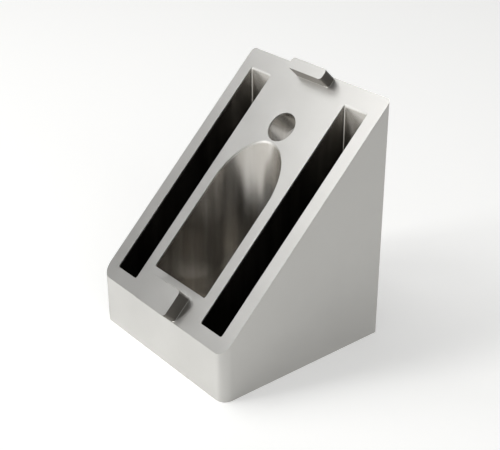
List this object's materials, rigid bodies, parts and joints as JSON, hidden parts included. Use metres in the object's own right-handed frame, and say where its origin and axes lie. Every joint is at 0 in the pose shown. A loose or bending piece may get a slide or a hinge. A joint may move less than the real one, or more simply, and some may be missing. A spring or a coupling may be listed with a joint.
{
  "type": "angle bracket",
  "caption": "Cast wedge bracket with a 45 degree slope that joins the end of one slotted profile to the side of another, held by a screw in each face.",
  "frame": {"origin": "middle of the square base, on the plane that meets the end of the first profile", "axes": "+Z away from the base, -Y towards the short front wall, +Y towards the tall back wall, slope facing -Y and +Z"},
  "size_m": [0.04, 0.0422, 0.0527],
  "materials": {
    "cast_aluminium": "satin, tumbled die casting"
  },
  "bodies": {
    "root": {"angle_bracket": "cast_aluminium"}
  },
  "joints": []
}
